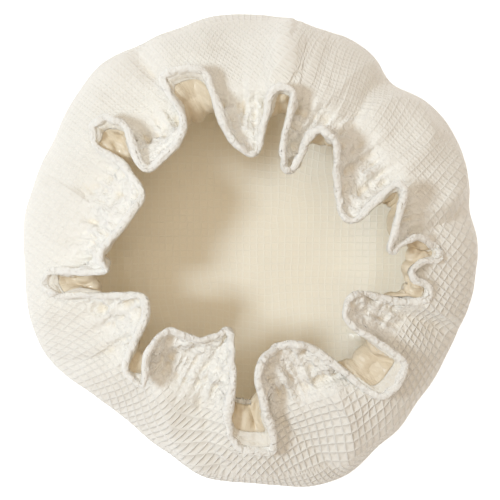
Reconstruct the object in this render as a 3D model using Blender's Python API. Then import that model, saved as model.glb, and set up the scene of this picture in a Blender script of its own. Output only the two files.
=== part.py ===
"""Shower cap of waffle-weave cotton with a clear waterproof lining.

The cap lies crown down with its gathered mouth up. Metres, +Z up, with the origin in the middle
of the flattened crown, on the surface that the cap rests on. The cloth is one loft: each column
runs from the crown over the side and the shoulder to the elastic, and on to the ruffle's free edge.
The lining, the turned-in hem and the elastic are further layers of the same loft.
"""

import math
from collections import namedtuple

import bpy
import numpy as np

# The crown and the side
REST_RADIUS = 0.090
GIRTH_RADIUS = 0.138
GIRTH_HEIGHT = 0.046
CREASE_DEPTH = 0.010

# The mouth, where the elastic gathers the cloth
MOUTH_HALF_WIDTH = 0.090
MOUTH_HALF_DEPTH = 0.081
MOUTH_HEIGHT = 0.076
MOUTH_WAVE = 0.0015

# The shoulder between them: its flutes' depth, and how far its curve keeps to the girth and then
# rises over the elastic, as shares of its reach and of its climb
SHOULDER_WAVE = 0.003
SHOULDER_BULGE = 0.55
SHOULDER_CREST = 0.35

# The ruffle past the elastic: how much of its width stands up before it leans, how far it leans
# there, and how much of it near the edge has its edge's own lean
RUFFLE_WIDTH = 0.036
RUFFLE_STANDS = 0.40
RUFFLE_FIRST_LEAN = 0.08
RUFFLE_CURL = 0.32
HEM_ROLL = 0.0032
HEM_WIDTH = 0.010

# Thickness of each layer and the gap between them
CLOTH_WALL = 0.0012
FILM_WALL = 0.0010
FACING_WALL = 0.0010
ELASTIC_WALL = 0.0010
ELASTIC_WIDTH = 0.010
LAYER_GAP = 0.0003
FILM_END_GAP = 0.0015

# Fineness of the loft. The steps are levels between those of the crown, girth and elastic, and a
# stride is how many of the ruffle's columns the cloth takes together below a level
COLUMNS_PER_TURN = 4
SIDE_STEPS = (0.55,)
SHOULDER_STEPS = (0.45, 0.80)
Stride = namedtuple("Stride", "below columns")
STRIDES = (Stride(1, 4), Stride(2, 2))
SHARP_EDGE = math.radians(60)

# The least cosine that a layer's corner is mitred by, so that a tight fold makes no spike
LEAST_MITRE = 0.65

# One row for each section of the outline, anticlockwise from +X. Degrees, and a share of GIRTH_RADIUS
Section = namedtuple("Section", "angle girth")
SECTIONS = (
    Section(0, 0.98),
    Section(15, 0.99),
    Section(27, 1.00),
    Section(40, 0.99),
    Section(49, 0.95),
    Section(60, 1.01),
    Section(74, 1.00),
    Section(93, 1.03),
    Section(108, 1.00),
    Section(127, 1.02),
    Section(137, 1.00),
    Section(151, 0.98),
    Section(173, 0.99),
    Section(188, 0.98),
    Section(204, 1.00),
    Section(211, 0.97),
    Section(223, 0.92),
    Section(233, 0.91),
    Section(247, 0.95),
    Section(257, 0.99),
    Section(270, 1.01),
    Section(293, 1.06),
    Section(302, 1.02),
    Section(325, 0.97),
    Section(335, 0.96),
    Section(350, 0.98),
)

# One row for each crease. Level 0 is the edge of the resting crown, 1 the girth and 2 the elastic;
# depth is a share of CREASE_DEPTH, and a raised fold has a negative one
Crease = namedtuple("Crease", "angle spread level reach depth")
CREASES = (
    Crease(10, 4, 1.3, 0.4, 0.35),
    Crease(30, 9, 1.4, 0.5, -0.35),
    Crease(50, 6, 1.4, 0.6, 0.75),
    Crease(66, 7, 1.4, 0.5, -0.30),
    Crease(81, 5, 1.4, 0.5, -0.30),
    Crease(119, 4, 1.3, 0.4, 0.60),
    Crease(129, 6, 1.2, 0.4, -0.20),
    Crease(155, 4, 1.8, 0.3, 0.50),
    Crease(165, 4, 1.5, 0.3, 0.25),
    Crease(184, 4, 1.2, 0.3, 0.30),
    Crease(213, 4, 1.1, 0.5, 0.45),
    Crease(247, 7, 1.4, 0.5, 0.35),
    Crease(302, 9, 1.2, 0.5, -0.40),
    Crease(318, 6, 1.4, 0.5, 0.30),
    Crease(343, 6, 1.4, 0.4, -0.35),
    Crease(353, 4, 1.6, 0.3, 0.35),
)

# One row for each turn of the ruffle's free edge, anticlockwise. The fold grows from the elastic at
# one angle and its edge ends at another; lean is how far out the edge lies from the elastic, and
# rise how far up, as shares of RUFFLE_WIDTH
Turn = namedtuple("Turn", "root edge lean rise")
TURNS = (
    Turn(8, -1, -0.30, 0.90),
    Turn(16, 19, 0.10, 0.95),
    Turn(20, 25, 0.10, 0.95),
    Turn(27, 15, -0.90, 0.50),
    Turn(36, 33, -0.83, 0.55),
    Turn(49, 52, -0.18, 0.95),
    Turn(54, 61, -0.10, 0.95),
    Turn(60, 63, -0.95, 0.45),
    Turn(67, 74, -0.74, 0.65),
    Turn(73, 75, 0.32, 0.85),
    Turn(78, 81, 0.34, 0.85),
    Turn(85, 86, -0.80, 0.60),
    Turn(94, 100, -0.61, 0.75),
    Turn(104, 105, 0.78, 0.60),
    Turn(113, 118, 0.84, 0.55),
    Turn(120, 119, -0.13, 0.95),
    Turn(130, 142, -0.33, 0.90),
    Turn(136, 134, 0.64, 0.65),
    Turn(141, 140, 0.88, 0.50),
    Turn(146, 145, 0.74, 0.55),
    Turn(156, 153, -0.62, 0.75),
    Turn(170, 182, -0.17, 0.95),
    Turn(178, 190, -0.28, 0.90),
    Turn(186, 185, 0.80, 0.40),
    Turn(191, 189, 0.93, 0.35),
    Turn(196, 194, 0.80, 0.40),
    Turn(207, 205, -0.69, 0.70),
    Turn(218, 225, 0.42, 0.80),
    Turn(224, 232, 0.42, 0.80),
    Turn(230, 223, -0.61, 0.75),
    Turn(238, 239, -0.73, 0.65),
    Turn(249, 256, -1.00, 0.40),
    Turn(257, 262, 0.35, 0.80),
    Turn(264, 266, 0.98, 0.35),
    Turn(272, 278, 1.05, 0.30),
    Turn(281, 272, -0.38, 0.85),
    Turn(290, 284, -0.76, 0.60),
    Turn(298, 301, -0.71, 0.70),
    Turn(311, 312, 0.88, 0.40),
    Turn(320, 325, 0.70, 0.50),
    Turn(328, 323, -0.60, 0.75),
    Turn(336, 338, -0.76, 0.65),
    Turn(344, 343, 0.50, 0.25),
    Turn(349, 348, 0.52, 0.25),
    Turn(354, 352, 0.08, 0.50),
    Turn(358, 357, 0.60, 0.15),
    Turn(362, 362, 0.56, 0.15),
    Turn(365, 365, 0.16, 0.60),
)

# A skin holds the rows of the outer surface; a row of a layer may lie between two of them
Skin = namedtuple("Skin", "points inward")
Row = namedtuple("Row", "place stride")


def through(knots, values, at, period):
    """Values at `at`, on a smooth closed curve through the values at the knots."""
    knots = np.asarray(knots, float)
    values = np.asarray(values, float)
    before = np.concatenate([[knots[-1] - period], knots[:-1]])
    after = np.concatenate([knots[1:], [knots[0] + period]])
    back = knots - before
    ahead = after - knots
    rise_back = (values - np.roll(values, 1, axis=0)).T / back
    rise_ahead = (np.roll(values, -1, axis=0) - values).T / ahead
    slopes = ((rise_back * ahead + rise_ahead * back) / (back + ahead)).T
    at = (np.asarray(at, float) - knots[0]) % period + knots[0]
    start = np.clip(np.searchsorted(knots, at, side="right") - 1, 0, len(knots) - 1)
    end = (start + 1) % len(knots)
    share = (at - knots[start]) / ahead[start]
    shape = (-1,) + (1,) * (values.ndim - 1)
    share = share.reshape(shape)
    span = ahead[start].reshape(shape)
    rest = 1 - share
    return (
        values[start] * rest * rest * (1 + 2 * share)
        + values[end] * share * share * (1 + 2 * rest)
        + slopes[start] * span * share * rest * rest
        - slopes[end] * span * share * share * rest
    )


def mouth_radius(degrees):
    """Distance from the axis to the elastic's oval."""
    angle = np.radians(degrees)
    return 1 / np.hypot(np.cos(angle) / MOUTH_HALF_WIDTH, np.sin(angle) / MOUTH_HALF_DEPTH)


def girth_radius(degrees):
    """Distance from the axis to the widest line of the side."""
    angles = [section.angle for section in SECTIONS]
    shares = [section.girth for section in SECTIONS]
    return GIRTH_RADIUS * through(angles, shares, degrees, 360)


def crease(degrees, level):
    """How far the creases press the cloth in at an angle and a level."""
    depth = np.zeros_like(degrees)
    for row in CREASES:
        apart = (degrees - row.angle + 180) % 360 - 180
        across = np.exp(-((apart / row.spread) ** 2))
        along = math.exp(-(((level - row.level) / row.reach) ** 2))
        depth += row.depth * across * along
    return CREASE_DEPTH * depth


def polar(degrees, radius, height):
    angle = np.radians(degrees)
    return np.stack([radius * np.cos(angle), radius * np.sin(angle), height], axis=-1)


def bezier(share, first, second, third, fourth):
    rest = 1 - share
    return (
        first * rest ** 3
        + second * 3 * rest * rest * share
        + third * 3 * rest * share * share
        + fourth * share ** 3
    )


class Loft:
    """The cap's outer surface, with a column for each step round the ruffle's free edge."""

    def __init__(self, columns_per_turn):
        turns = np.array(TURNS, float)
        roots, edges, leans, rises = turns.T
        reach = mouth_radius(edges) + leans * RUFFLE_WIDTH
        corners = polar(edges, reach, MOUTH_HEIGHT + rises * RUFFLE_WIDTH)
        # The square root of each distance keeps the curve from looping at a short, sharp turn
        spans = np.sqrt(np.linalg.norm(np.roll(corners, -1, axis=0) - corners, axis=1))
        knots = np.append(0, np.cumsum(spans))
        whole = knots[-1]
        self.columns = len(turns) * columns_per_turn
        places = np.arange(self.columns) / columns_per_turn
        at = np.interp(places, np.arange(len(knots)), knots)
        knots = knots[:-1]
        ahead = roots - 360 * knots / whole
        self.root = through(knots, ahead, at, whole) + 360 * at / whole
        self.lean = through(knots, leans, at, whole)
        self.edge = through(knots, corners, at, whole)
        self.elastic = mouth_radius(self.root) + MOUTH_WAVE * self.lean
        self.girth = girth_radius(self.root)

    def body(self, level):
        """Points at a level from 0, the crown's resting edge, through 1, the girth, to 2, the elastic."""
        if level <= 1:
            tilt = level * math.pi / 2
            rest = self.girth * REST_RADIUS / GIRTH_RADIUS
            radius = rest + (self.girth - rest) * math.sin(tilt)
            height = GIRTH_HEIGHT * (1 - math.cos(tilt))
            flute = 0
        else:
            share = level - 1
            tilt = (1 + share) * math.pi / 2
            near = self.elastic + SHOULDER_BULGE * (self.girth - self.elastic)
            radius = bezier(share, self.girth, self.girth, near, self.elastic)
            climb = bezier(share, 0, SHOULDER_BULGE, 1 + SHOULDER_CREST, 1)
            height = GIRTH_HEIGHT + (MOUTH_HEIGHT - GIRTH_HEIGHT) * climb
            flute = 4 * share * (1 - share)
        pressed = min(1, level) * crease(self.root, level) - SHOULDER_WAVE * flute * self.lean
        return polar(
            self.root,
            radius - pressed * math.sin(tilt),
            height + pressed * math.cos(tilt),
        )

    def ruffle(self, share):
        """Points at a share of the ruffle's width, from the elastic to the free edge."""
        foot = self.body(2)
        outward = (self.edge - foot) * (1, 1, 0)
        upward = np.array((0, 0, RUFFLE_WIDTH))
        lean = np.abs(self.lean)[:, None]
        standing = foot + RUFFLE_STANDS * upward + RUFFLE_FIRST_LEAN * outward
        leaning = self.edge - RUFFLE_CURL * (outward * lean + upward * (1 - lean))
        return bezier(share, foot, standing, leaning, self.edge)

    def points(self, level):
        if level <= 2:
            return self.body(level)
        return self.ruffle(level - 2)


def unit(vectors):
    return vectors / np.linalg.norm(vectors, axis=-1, keepdims=True)


def skin_of(loft, levels):
    """Points of each level, and the inward steps that keep a layer's thickness through a fold."""
    grid = np.array([loft.points(level) for level in levels])
    ahead = unit(np.roll(grid, -1, axis=1) - grid)
    around = ahead + np.roll(ahead, 1, axis=1)
    along = grid[1:] - grid[:-1]
    faces = unit(np.cross(along, around[1:] + around[:-1]))
    below = np.concatenate([np.zeros_like(faces[:1]) + (0, 0, 1), faces])
    above = np.concatenate([faces, faces[-1:]])
    inward = unit(below + above)
    inward[0] = (0, 0, 1)
    mitre = np.clip((inward * above).sum(axis=2, keepdims=True), LEAST_MITRE, 1)
    return Skin(grid, inward / mitre)


def strip(lower, upper, places):
    """Triangles between two loops of vertex numbers, whose upper one may have twice as many."""
    faces = []
    count = len(lower)
    if len(upper) == 2 * count:
        for i in range(count):
            near = upper[2 * i]
            middle = upper[2 * i + 1]
            far = upper[(2 * i + 2) % len(upper)]
            left = lower[i]
            right = lower[(i + 1) % count]
            faces += [(left, middle, near), (left, right, middle), (right, far, middle)]
        return faces
    for i in range(count):
        j = (i + 1) % count
        rising = np.linalg.norm(places[lower[i]] - places[upper[j]])
        falling = np.linalg.norm(places[lower[j]] - places[upper[i]])
        if rising < falling:
            faces += [(lower[i], lower[j], upper[j]), (lower[i], upper[j], upper[i])]
        else:
            faces += [(lower[i], lower[j], upper[i]), (lower[j], upper[j], upper[i])]
    return faces


def stride_at(level):
    for row in STRIDES:
        if level < row.below:
            return row.columns
    return 1


def between(rings, place):
    """The ring at a place counted in rows, on the straight line from one row to the next."""
    first = math.floor(place)
    share = place - first
    if share == 0:
        return rings[first]
    return rings[first] * (1 - share) + rings[first + 1] * share


def layer(name, skin, rows, depths, material, crown):
    """One closed cloth solid between two depths under the outer surface, given for each row."""
    points = []
    loops = []
    columns = skin.points.shape[1]
    for side in (0, 1):
        for number, row in enumerate(rows):
            depth = depths[number][side]
            ring = between(skin.points, row.place) + between(skin.inward, row.place) * depth
            loops.append(list(range(len(points), len(points) + columns // row.stride)))
            points += list(ring[:: row.stride])
    guide = []
    for row in rows:
        guide += list(between(skin.points, row.place)[:: row.stride])
    guide += guide
    count = len(rows)
    if depths[-1][0] == depths[-1][1]:
        loops[-1] = loops[count - 1]
    faces = []
    for number in range(count - 1):
        faces += strip(loops[number], loops[number + 1], guide)
        inner = strip(loops[count + number], loops[count + number + 1], guide)
        faces += [face[::-1] for face in inner]
    if loops[-1] is not loops[count - 1]:
        faces += strip(loops[count - 1], loops[2 * count - 1], points)
    if crown:
        faces += [tuple(reversed(loops[0])), tuple(loops[count])]
    else:
        faces += strip(loops[count], loops[0], points)
    mesh = bpy.data.meshes.new(name)
    mesh.from_pydata([tuple(point) for point in points], [], faces)
    mesh.shade_smooth()
    mesh.set_sharp_from_angle(angle=SHARP_EDGE)
    mesh.materials.append(material)
    solid = bpy.data.objects.new(name, mesh)
    bpy.context.scene.collection.objects.link(solid)
    return solid


def plain_material(name, colour, roughness, transmission=0.0):
    material = bpy.data.materials.new(name)
    material.use_nodes = True
    shader = material.node_tree.nodes["Principled BSDF"]
    shader.inputs["Base Color"].default_value = (*colour, 1)
    shader.inputs["Roughness"].default_value = roughness
    shader.inputs["Metallic"].default_value = 0
    shader.inputs["Transmission Weight"].default_value = transmission
    return material


def clear_scene():
    for thing in list(bpy.data.objects):
        bpy.data.objects.remove(thing)


def build_cap():
    loft = Loft(COLUMNS_PER_TURN)
    casing = 2 + ELASTIC_WIDTH / RUFFLE_WIDTH
    hem = 3 - HEM_WIDTH / RUFFLE_WIDTH
    roll = 3 - HEM_ROLL / 2 / RUFFLE_WIDTH
    body = [0, *SIDE_STEPS, 1, *(1 + step for step in SHOULDER_STEPS)]
    levels = body + [2, casing, hem, roll, 3]
    skin = skin_of(loft, levels)

    def rows(first, last):
        found = []
        for place, level in enumerate(levels):
            if first <= level <= last:
                found.append(Row(place, stride_at(level)))
        return found

    waffle = plain_material("ivory waffle cotton", colour=(0.88, 0.86, 0.80), roughness=0.9)
    film = plain_material(
        "clear waterproof film", colour=(0.93, 0.90, 0.80), roughness=0.2, transmission=0.3
    )
    facing = plain_material("ivory cotton facing", colour=(0.90, 0.88, 0.83), roughness=0.85)
    band = plain_material("white elastic", colour=(0.92, 0.92, 0.90), roughness=0.7)

    cloth = (0, CLOTH_WALL)
    rolled = (CLOTH_WALL - HEM_ROLL, CLOTH_WALL)
    ridge = (CLOTH_WALL - HEM_ROLL / 2, CLOTH_WALL - HEM_ROLL / 2)
    under = CLOTH_WALL + LAYER_GAP
    over_tape = under + ELASTIC_WALL + LAYER_GAP
    tape = (under, under + ELASTIC_WALL)
    turned_in = (under, under + FACING_WALL)
    flat_film = (under, under + FILM_WALL)
    raised_film = (over_tape, over_tape + FILM_WALL)

    shell_depths = [cloth] * (len(levels) - 2) + [rolled, ridge]
    layer("shell", skin, rows(0, 3), shell_depths, waffle, crown=True)

    film_end = Row(levels.index(hem) - FILM_END_GAP / (hem - casing) / RUFFLE_WIDTH, 1)
    film_depths = [flat_film] * len(body) + [raised_film, raised_film, flat_film]
    layer("lining", skin, rows(0, casing) + [film_end], film_depths, film, crown=True)

    layer("hem_facing", skin, rows(hem, roll), [turned_in] * 2, facing, crown=False)
    layer("elastic_band", skin, rows(2, casing), [tape] * 2, band, crown=False)


clear_scene()
build_cap()
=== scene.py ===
"""Looks of a gathered shower cap that lies on its crown with its mouth up.

Waffle-weave cotton outside and a clear waterproof film inside, gathered by an elastic below a
ruffle with a rolled, stitched hem. The cloth repeats the loft of the cap's solids with finer
columns and rows. Blender's Cloth makes it buckle, and it gets what the solids leave out: folds,
gathers, creases, the padded hem, its stitches, and the weave. Metres, +Z up, seen from straight
above.
"""

import math
from collections import namedtuple

import bpy
import numpy as np
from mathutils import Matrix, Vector, noise
from mathutils.bvhtree import BVHTree

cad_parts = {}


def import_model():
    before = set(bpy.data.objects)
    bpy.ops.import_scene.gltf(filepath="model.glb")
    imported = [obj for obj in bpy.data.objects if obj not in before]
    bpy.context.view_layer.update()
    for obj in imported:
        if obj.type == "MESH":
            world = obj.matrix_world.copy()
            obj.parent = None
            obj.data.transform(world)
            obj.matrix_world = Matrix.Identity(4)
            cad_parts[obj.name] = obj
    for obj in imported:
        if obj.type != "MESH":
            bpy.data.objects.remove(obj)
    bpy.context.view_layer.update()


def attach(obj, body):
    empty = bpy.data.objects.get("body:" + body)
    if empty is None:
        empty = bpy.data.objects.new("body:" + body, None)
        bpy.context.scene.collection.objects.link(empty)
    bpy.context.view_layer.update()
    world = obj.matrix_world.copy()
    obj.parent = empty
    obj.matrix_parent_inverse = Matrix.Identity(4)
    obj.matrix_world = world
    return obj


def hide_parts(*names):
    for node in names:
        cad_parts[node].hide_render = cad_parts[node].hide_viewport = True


# The cap's sizes, as its solids have them
REST_RADIUS = 0.090
GIRTH_RADIUS = 0.138
GIRTH_HEIGHT = 0.046
CREASE_DEPTH = 0.010
MOUTH_HALF_WIDTH = 0.090
MOUTH_HALF_DEPTH = 0.081
MOUTH_HEIGHT = 0.076
MOUTH_WAVE = 0.0015
SHOULDER_WAVE = 0.003
SHOULDER_BULGE = 0.55
SHOULDER_CREST = 0.35
RUFFLE_WIDTH = 0.036
RUFFLE_STANDS = 0.50
RUFFLE_FIRST_LEAN = 0.08
RUFFLE_CURL = 0.32
ELASTIC_WIDTH = 0.010

# Thickness of each layer, as thin as the real cloth, how deep under the cotton's face the film
# starts, the room between the ruffle's layers, and the least share of a step that a bend keeps
CLOTH_WALL = 0.0006
FILM_WALL = 0.0003
FACING_WALL = 0.0004
ELASTIC_WALL = 0.0005
FILM_DEPTH = 0.0009
FILM_GAP = 0.0002
FACING_GAP = 0.0001
LEAST_MITRE = 0.65

# The rolled hem: half its thickness, how far from the edge it is stitched and turned in, and
# between which shares of the stitches' distance the roll thins out, outside and inside
HEM_HALF = 0.0022
HEM_STITCH = 0.0062
HEM_TURN_IN = 0.0088
ROLL_OUTSIDE = (1.0, 0.5)
ROLL_INSIDE = (1.3, 0.4)

# The stitches, the groove that they pull, and the row on the inside, a little further from the edge
STITCH_LENGTH = 0.0023
STITCH_GAP = 0.0008
THREAD_RADIUS = 0.00024
STITCH_SINK = 0.0002
GROOVE_DEPTH = 0.0003
GROOVE_REACH = 0.0011
INSIDE_STITCH = HEM_STITCH + 0.0010

# Where the film and the facing end, from the ruffle's edge, and how the facing thins at its ends
FILM_END = HEM_STITCH + 0.0015
FACING_END = HEM_STITCH - 0.0035
FACING_SINK = 0.0010
FACING_SINK_REACH = 0.003
FACING_THINNEST = 0.15
FACING_THIN_REACH = 0.0012

# Fineness of the cloth
COLUMNS_PER_TURN = 24
CROWN_ROWS = 20
SIDE_ROWS = 22
SHOULDER_ROWS = 30
RUFFLE_ROWS = 34
HEM_CROWDING = 1.6
ELASTIC_ROW = CROWN_ROWS - 1 + SIDE_ROWS + SHOULDER_ROWS

# How many columns a sheet takes together below each level
Stride = namedtuple("Stride", "below columns")
STRIDES = (
    Stride(0, 8),
    Stride(1, 4),
    Stride(1.5, 2),
)

# Smooth noise: how wide its lumps are, how high, and its seed; and how far apart the seeds lie in it
Wave = namedtuple("Wave", "size depth seed")
SEED_STEPS = (7.3, 3.1, 5.7)

# The light: each lamp's place, size, power and colour, the room's own, and the floor
KEY_PLACE = (-0.82, 0.0, 1.31)
KEY_SIZE = 0.25
KEY_POWER = 10.4
KEY_COLOUR = (0.74, 0.88, 1.0)
SOFTBOX_PLACE = (0.0, 0.1, 2.0)
SOFTBOX_SIZE = 1.0
SOFTBOX_POWER = 8.8
SOFTBOX_COLOUR = (1.0, 0.92, 0.76)
FILL_PLACE = (0.2, 1.5, 1.0)
FILL_SIZE = 1.0
FILL_POWER = 2
FILL_COLOUR = (0.70, 0.86, 1.0)
ROOM_LIGHT = 0.41
ROOM_COLOUR = (1.0, 0.81, 0.64)
FLOOR_SIZE = 6
FLOOR_COLOUR = (0.88, 0.92, 0.96)
FLOOR_GLOW = 0.60
LIGHT_BOUNCES = 8

# The shoulder's weave, seen from above: it is turned as a whole and round a few places, and its
# threads wander a little, across and up
WARP_TURN = 50
WARPS = (
    Wave(0.070, 0.006, 11),
    Wave(0.070, 0.006, 12),
)
Swirl = namedtuple("Swirl", "x y angle reach")
SWIRLS = (
    Swirl(0.050, -0.115, -40, 0.060),
    Swirl(-0.085, -0.095, -36, 0.045),
    Swirl(0.057, 0.099, 30, 0.035),
)

# The cloth's settling: its grid, the waves that it starts with, and how long it is let move
SETTLING_COLUMNS = 12
SETTLING_ROWS = 34
SETTLING_RUFFLE_ROWS = 16
SETTLING_START = 0.6
SETTLING_FRAMES = 16
SETTLING_WAVE = Wave(0.007, 0.0008, 21)
SETTLING_WAVE_LEVEL = 1.3
GRAVITY_SHARE = 0.3
CLOTH_SETTINGS = {
    "quality": 6,
    "mass": 0.15,
    "tension_stiffness": 15,
    "compression_stiffness": 15,
    "shear_stiffness": 5,
    "bending_stiffness": 0.02,
    "bending_damping": 0.5,
    "air_damping": 1,
    "vertex_group_mass": "held",
}

# How firmly the settling cloth is held in the loft's shape, and how far each hold reaches: the
# first in levels, the others along the cloth
HOLD_SHOULDER = 0.06
HOLD_RUFFLE = 0.055
HOLD_ELASTIC = 0.15
HOLD_HEM = 0.08
START_REACH = 0.25
ELASTIC_REACH = 0.004
HEM_REACH = 0.006

# The flat cloth's columns lean from the elastic to the hem between these levels, and no step of it
# is flatter than this share
FLAT_LEANS = (1.9, 2.6)
FLAT_LEAST_RISE = 0.2

# What is kept of the settling: the quick moves, less the slow drift
DRIFT_REACH = 0.012
DRIFT_ROWS = 4
DRIFT_SHARE = 0.7
SHOULDER_SHARE = 0.4
SHOULDER_STARTS = (1.2, 1.9)
EASE_REACH = 0.0008
HEM_EASE = 0.003

# How deep a point of a crease lies under the cloth round it, from shallow to deep, for the
# painted shade laid into the creases
CREASE_REACH = 0.004
CREASE_ROWS = 3
CREASE_SHALLOW = 0.0006
CREASE_DEEP = 0.0030

# How far the soft bend at the elastic reaches, how the hem's sharp turns are rounded, and between
# which distances from the edge its steps are evened and its own finish starts
NECK_REACH = 0.012
NECK_ROWS = 3
HEM_TURN = 0.0020
HEM_TURN_REACH = 0.009
HEM_EVENS = (0.012, 0.006)
HEM_SHOWS = (0.012, 0.005)

# The film and the tape lie on a smoother surface, kept clear of the cloth's wrinkles: how smooth it
# is, how many rows and columns a wrinkle counts for, and how it is cleared of what still stands out
UNDER_REACH = 0.0018
UNDER_ROWS = 1
UNDER_ELASTIC = 0.010
WRINKLE_COUNTS = (2, 5)
CLEARING_ROUNDS = 2
CLEARING_COUNTS = (1, 3)
CLEARING_ROW = ELASTIC_ROW - SHOULDER_ROWS // 2 + 1
MOST_CLEARING = 0.004

# How far the film stands off the cloth where the crown turns up into the side, and how much more at
# the right, within some degrees; how far the elastic lifts it, and between which places; and from
# which distance to the edge it lies flat on the ruffle
BOWL_RISE = 0.005
BOWL_RISE_RIGHT = 0.002
BOWL_SPREAD = 40
BOWL_PLACE = 0.095
BOWL_REACH = 0.030
CASING_RISE = ELASTIC_WALL + 0.0005
CASING_STARTS = (-0.002, 0.001)
CASING_ENDS = (ELASTIC_WIDTH + 0.002, ELASTIC_WIDTH - 0.001)
FILM_FLAT = (0.018, 0.012)

# The cloth's soft waves
SLACK = (
    Wave(0.045, 0.0012, 1),
    Wave(0.020, 0.00036, 2),
)

# Small creases, from the widest to the finest, the height of their crests as a share, their reach
# from the elastic, where they end at the hem, and the least that counts
CRUMPLES = (
    Wave(0.013, 0.0014, 3),
    Wave(0.0055, 0.0008, 4),
)
CRUMPLE_CREST = 0.35
CRUMPLE_REACH = 0.006
CRUMPLES_END = (0.003, 0.010)
LEAST_CRUMPLE = 0.03

# The hem's puckers along the stitches, how much longer they are than wide, and how uneven the hem is
PUCKERS = Wave(0.005, 0.0008, 9)
PUCKER_SQUEEZE = 0.3
PUCKER_REACH = 0.004
PUCKERS_END = 4 * HEM_STITCH
HEM_UNEVEN = (
    Wave(0.025, 0.25, 5),
    Wave(0.005, 0.15, 6),
)

# The weave's cells, and how sharp their ridges are
WAFFLE_CELL = 0.0044
RUFFLE_CELL = 0.0036
SHARPNESS = 2.6
FINE_SHARPNESS = 1.5
RUFFLE_SHARPNESS = 2.0
FILM_SHARPNESS = 5.0

# Where the finish changes: along the cloth, as lengths past the elastic, and across the cap, toward
# the top of the view and a little to its left. Then how deep the weave is in each place, as a share
CROWN_WEAVE_ENDS = (-0.058, -0.048)
RUFFLE_STARTS = (-0.018, 0.002)
# Where the film turns to its painted shade, past the elastic, in the ruffle's pockets
FILM_SHADE_STARTS = (-0.006, 0.006)
FILM_TIGHTENS = (-0.025, 0.0)
TOWARD_LEFT = 0.45
FINE_WEAVE_STARTS = (-0.10, 0.09)
FLAT_WEAVE_STARTS = (-0.15, 0.06)
DEEP_WEAVE = 1.3
FLAT_WEAVE = 0.60
FINE_WEAVE = 0.6
RUFFLE_WEAVE = 0.4
FACING_WEAVE = 0.6

# The cotton's fuzz and its clouds of colour, how much lighter its ruffle is painted (painted light), the
# ruffle's creases and how much the fine ones count, the hem's fine puckers, the film's ripples and
# creases, and the ribs of the tape
FUZZ = 0.0012
CLOUDS = 0.035
CLOUDS_SHARE = 0.2
RUFFLE_PAINTED_LIGHT = 0.75
CRINKLE = 0.007
FINE_CRINKLE = 0.0028
FINE_CRINKLE_SHARE = 0.35
CRINKLE_DETAIL = 2.5
CRINKLE_POWER = 0.7
FINE_PUCKER_PITCH = 0.0022
FINE_PUCKER_LENGTH = 0.008
FILM_RIPPLE = 0.016
FILM_CRINKLE = 0.013
TAPE_RIB = 0.0012
THREAD_FUZZ = 0.0006

# Colours, as linear light
# The cells are darker than the ridges: partly the cotton's own tone, partly painted shade in the weave's
# pits
COTTON = (0.89, 0.862, 0.805)
COTTON_RIDGES = (0.915, 0.897, 0.85)
COTTON_CLOUDS = (0.86, 0.82, 0.74)
# Painted light: the ruffle is made lighter than the same cotton on the shoulder
COTTON_RUFFLE_PAINTED_LIGHT = (0.945, 0.93, 0.89)
# The hem is lighter: partly its layers of cloth, partly painted light
COTTON_HEM_LAYERS_AND_LIGHT = (0.935, 0.92, 0.88)
# Painted shade: the warm tan laid into the cloth's creases
COTTON_CREASE_SHADE = (0.87, 0.81, 0.70)
# The facing is darker than the shell's cotton, and darker in its cells than on its ridges: painted shade
# in the pits, as on the shell
FACING = (0.82, 0.785, 0.71)
FACING_RIDGES = (0.88, 0.86, 0.81)
FILM = (0.94, 0.885, 0.765)
FILM_RIDGES = (0.975, 0.935, 0.83)
# Painted shade: the film's darker tan past the elastic, in the ruffle's pockets
FILM_POCKET_SHADE = (0.79, 0.69, 0.53)
TAPE = (0.86, 0.85, 0.82)
THREAD = (0.86, 0.82, 0.73)

# The view from above: the width of the frame at a height over the floor, and the camera's own height
FRAME_WIDTH = 0.300
FRAME_HEIGHT = 0.045
CAMERA_HEIGHT = 1.0
SENSOR_WIDTH = 36

# One row for each section of the outline, anticlockwise from +X. Degrees, and a share of GIRTH_RADIUS
Section = namedtuple("Section", "angle girth")
SECTIONS = (
    Section(0, 0.98),
    Section(15, 0.99),
    Section(27, 1.00),
    Section(40, 0.99),
    Section(49, 0.95),
    Section(60, 1.01),
    Section(74, 1.00),
    Section(93, 1.03),
    Section(108, 1.00),
    Section(127, 1.02),
    Section(137, 1.00),
    Section(151, 0.987),
    Section(173, 0.99),
    Section(188, 0.98),
    Section(204, 1.00),
    Section(211, 0.985),
    Section(223, 0.92),
    Section(233, 0.91),
    Section(247, 0.95),
    Section(257, 0.99),
    Section(270, 1.01),
    Section(293, 1.06),
    Section(302, 1.02),
    Section(325, 0.97),
    Section(335, 0.96),
    Section(350, 0.98),
)

# One row for each crease. Level 0 is the edge of the resting crown, 1 the girth and 2 the elastic;
# depth is a share of CREASE_DEPTH, and a raised fold has a negative one
Crease = namedtuple("Crease", "angle spread level reach depth")
CREASES = (
    Crease(10, 4, 1.3, 0.4, 0.35),
    Crease(30, 9, 1.4, 0.5, -0.35),
    Crease(50, 6, 1.4, 0.6, 0.05),
    Crease(66, 7, 1.4, 0.5, -0.30),
    Crease(81, 5, 1.4, 0.5, -0.30),
    Crease(119, 4, 1.3, 0.4, 0.20),
    Crease(129, 6, 1.2, 0.4, -0.20),
    Crease(155, 4, 1.8, 0.3, 0.35),
    Crease(165, 4, 1.5, 0.3, 0.05),
    Crease(184, 4, 1.2, 0.3, 0.10),
    Crease(213, 4, 1.1, 0.5, 0.05),
    Crease(247, 7, 1.4, 0.5, 0.15),
    Crease(302, 9, 1.2, 0.5, -0.10),
    Crease(318, 6, 1.4, 0.5, 0.30),
    Crease(343, 6, 1.4, 0.4, -0.10),
    Crease(353, 4, 1.6, 0.3, 0.35),
)

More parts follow.
